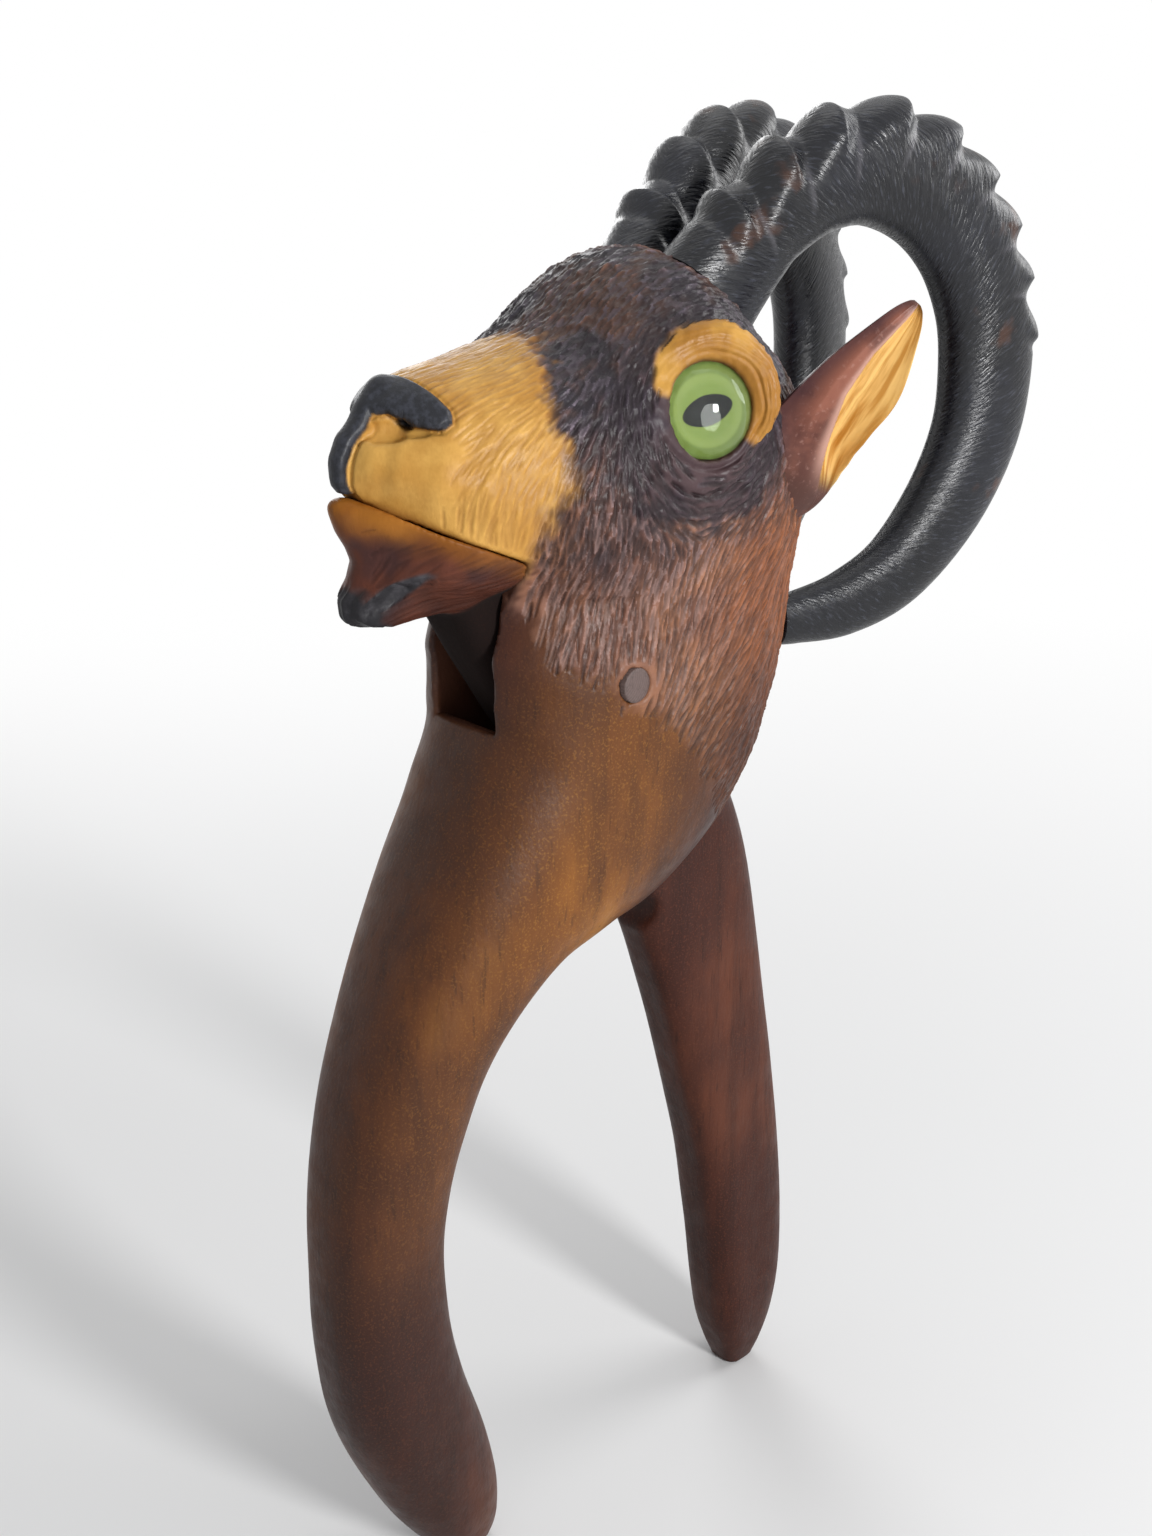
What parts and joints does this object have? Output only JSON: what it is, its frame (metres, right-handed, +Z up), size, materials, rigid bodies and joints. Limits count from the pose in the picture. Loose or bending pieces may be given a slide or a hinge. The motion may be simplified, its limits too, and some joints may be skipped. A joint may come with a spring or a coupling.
{
  "type": "lever nutcracker press",
  "caption": "Hand-carved wooden lever nutcracker standing on its two handles, its jaw set in an ibex's head with curled horns.",
  "frame": {"origin": "centre of the front foot's flat", "axes": "+Z up, -X towards the animal's face, XZ plane of symmetry, so the animal's right side is +Y"},
  "size_m": [0.1463, 0.0714, 0.2486],
  "materials": {
    "carved_wood": "satin stain over carved grain",
    "lever_wood": "satin stain",
    "pin_steel": "plain",
    "plug_wood": "matte end grain",
    "horn_wood": "satin black stain",
    "ear_wood": "satin stain",
    "dowel_wood": "raw",
    "eye_glass": "clear gloss",
    "eye_disc": "painted"
  },
  "bodies": {
    "frame": {"body": "carved_wood", "pivot_pin": "pin_steel", "pin_plug_left": "plug_wood", "pin_plug_right": "plug_wood", "horn_left": "horn_wood", "horn_right": "horn_wood", "horn_dowel_left": "dowel_wood", "horn_dowel_right": "dowel_wood", "horn_peg_left": "dowel_wood", "horn_peg_right": "dowel_wood", "ear_left": "ear_wood", "ear_right": "ear_wood", "ear_dowel_left": "dowel_wood", "ear_dowel_right": "dowel_wood", "eye_glass_left": "eye_glass", "eye_glass_right": "eye_glass", "eye_iris_left": "eye_disc", "eye_iris_right": "eye_disc"},
    "lever": {"jaw_lever": "lever_wood"}
  },
  "joints": [
    {"name": "jaw_pivot", "type": "hinge", "parent": "frame", "child": "lever", "pos_m": [0.024, 0, 0.164], "axis": [0, -1, 0], "range_deg": [0, 28]}
  ]
}
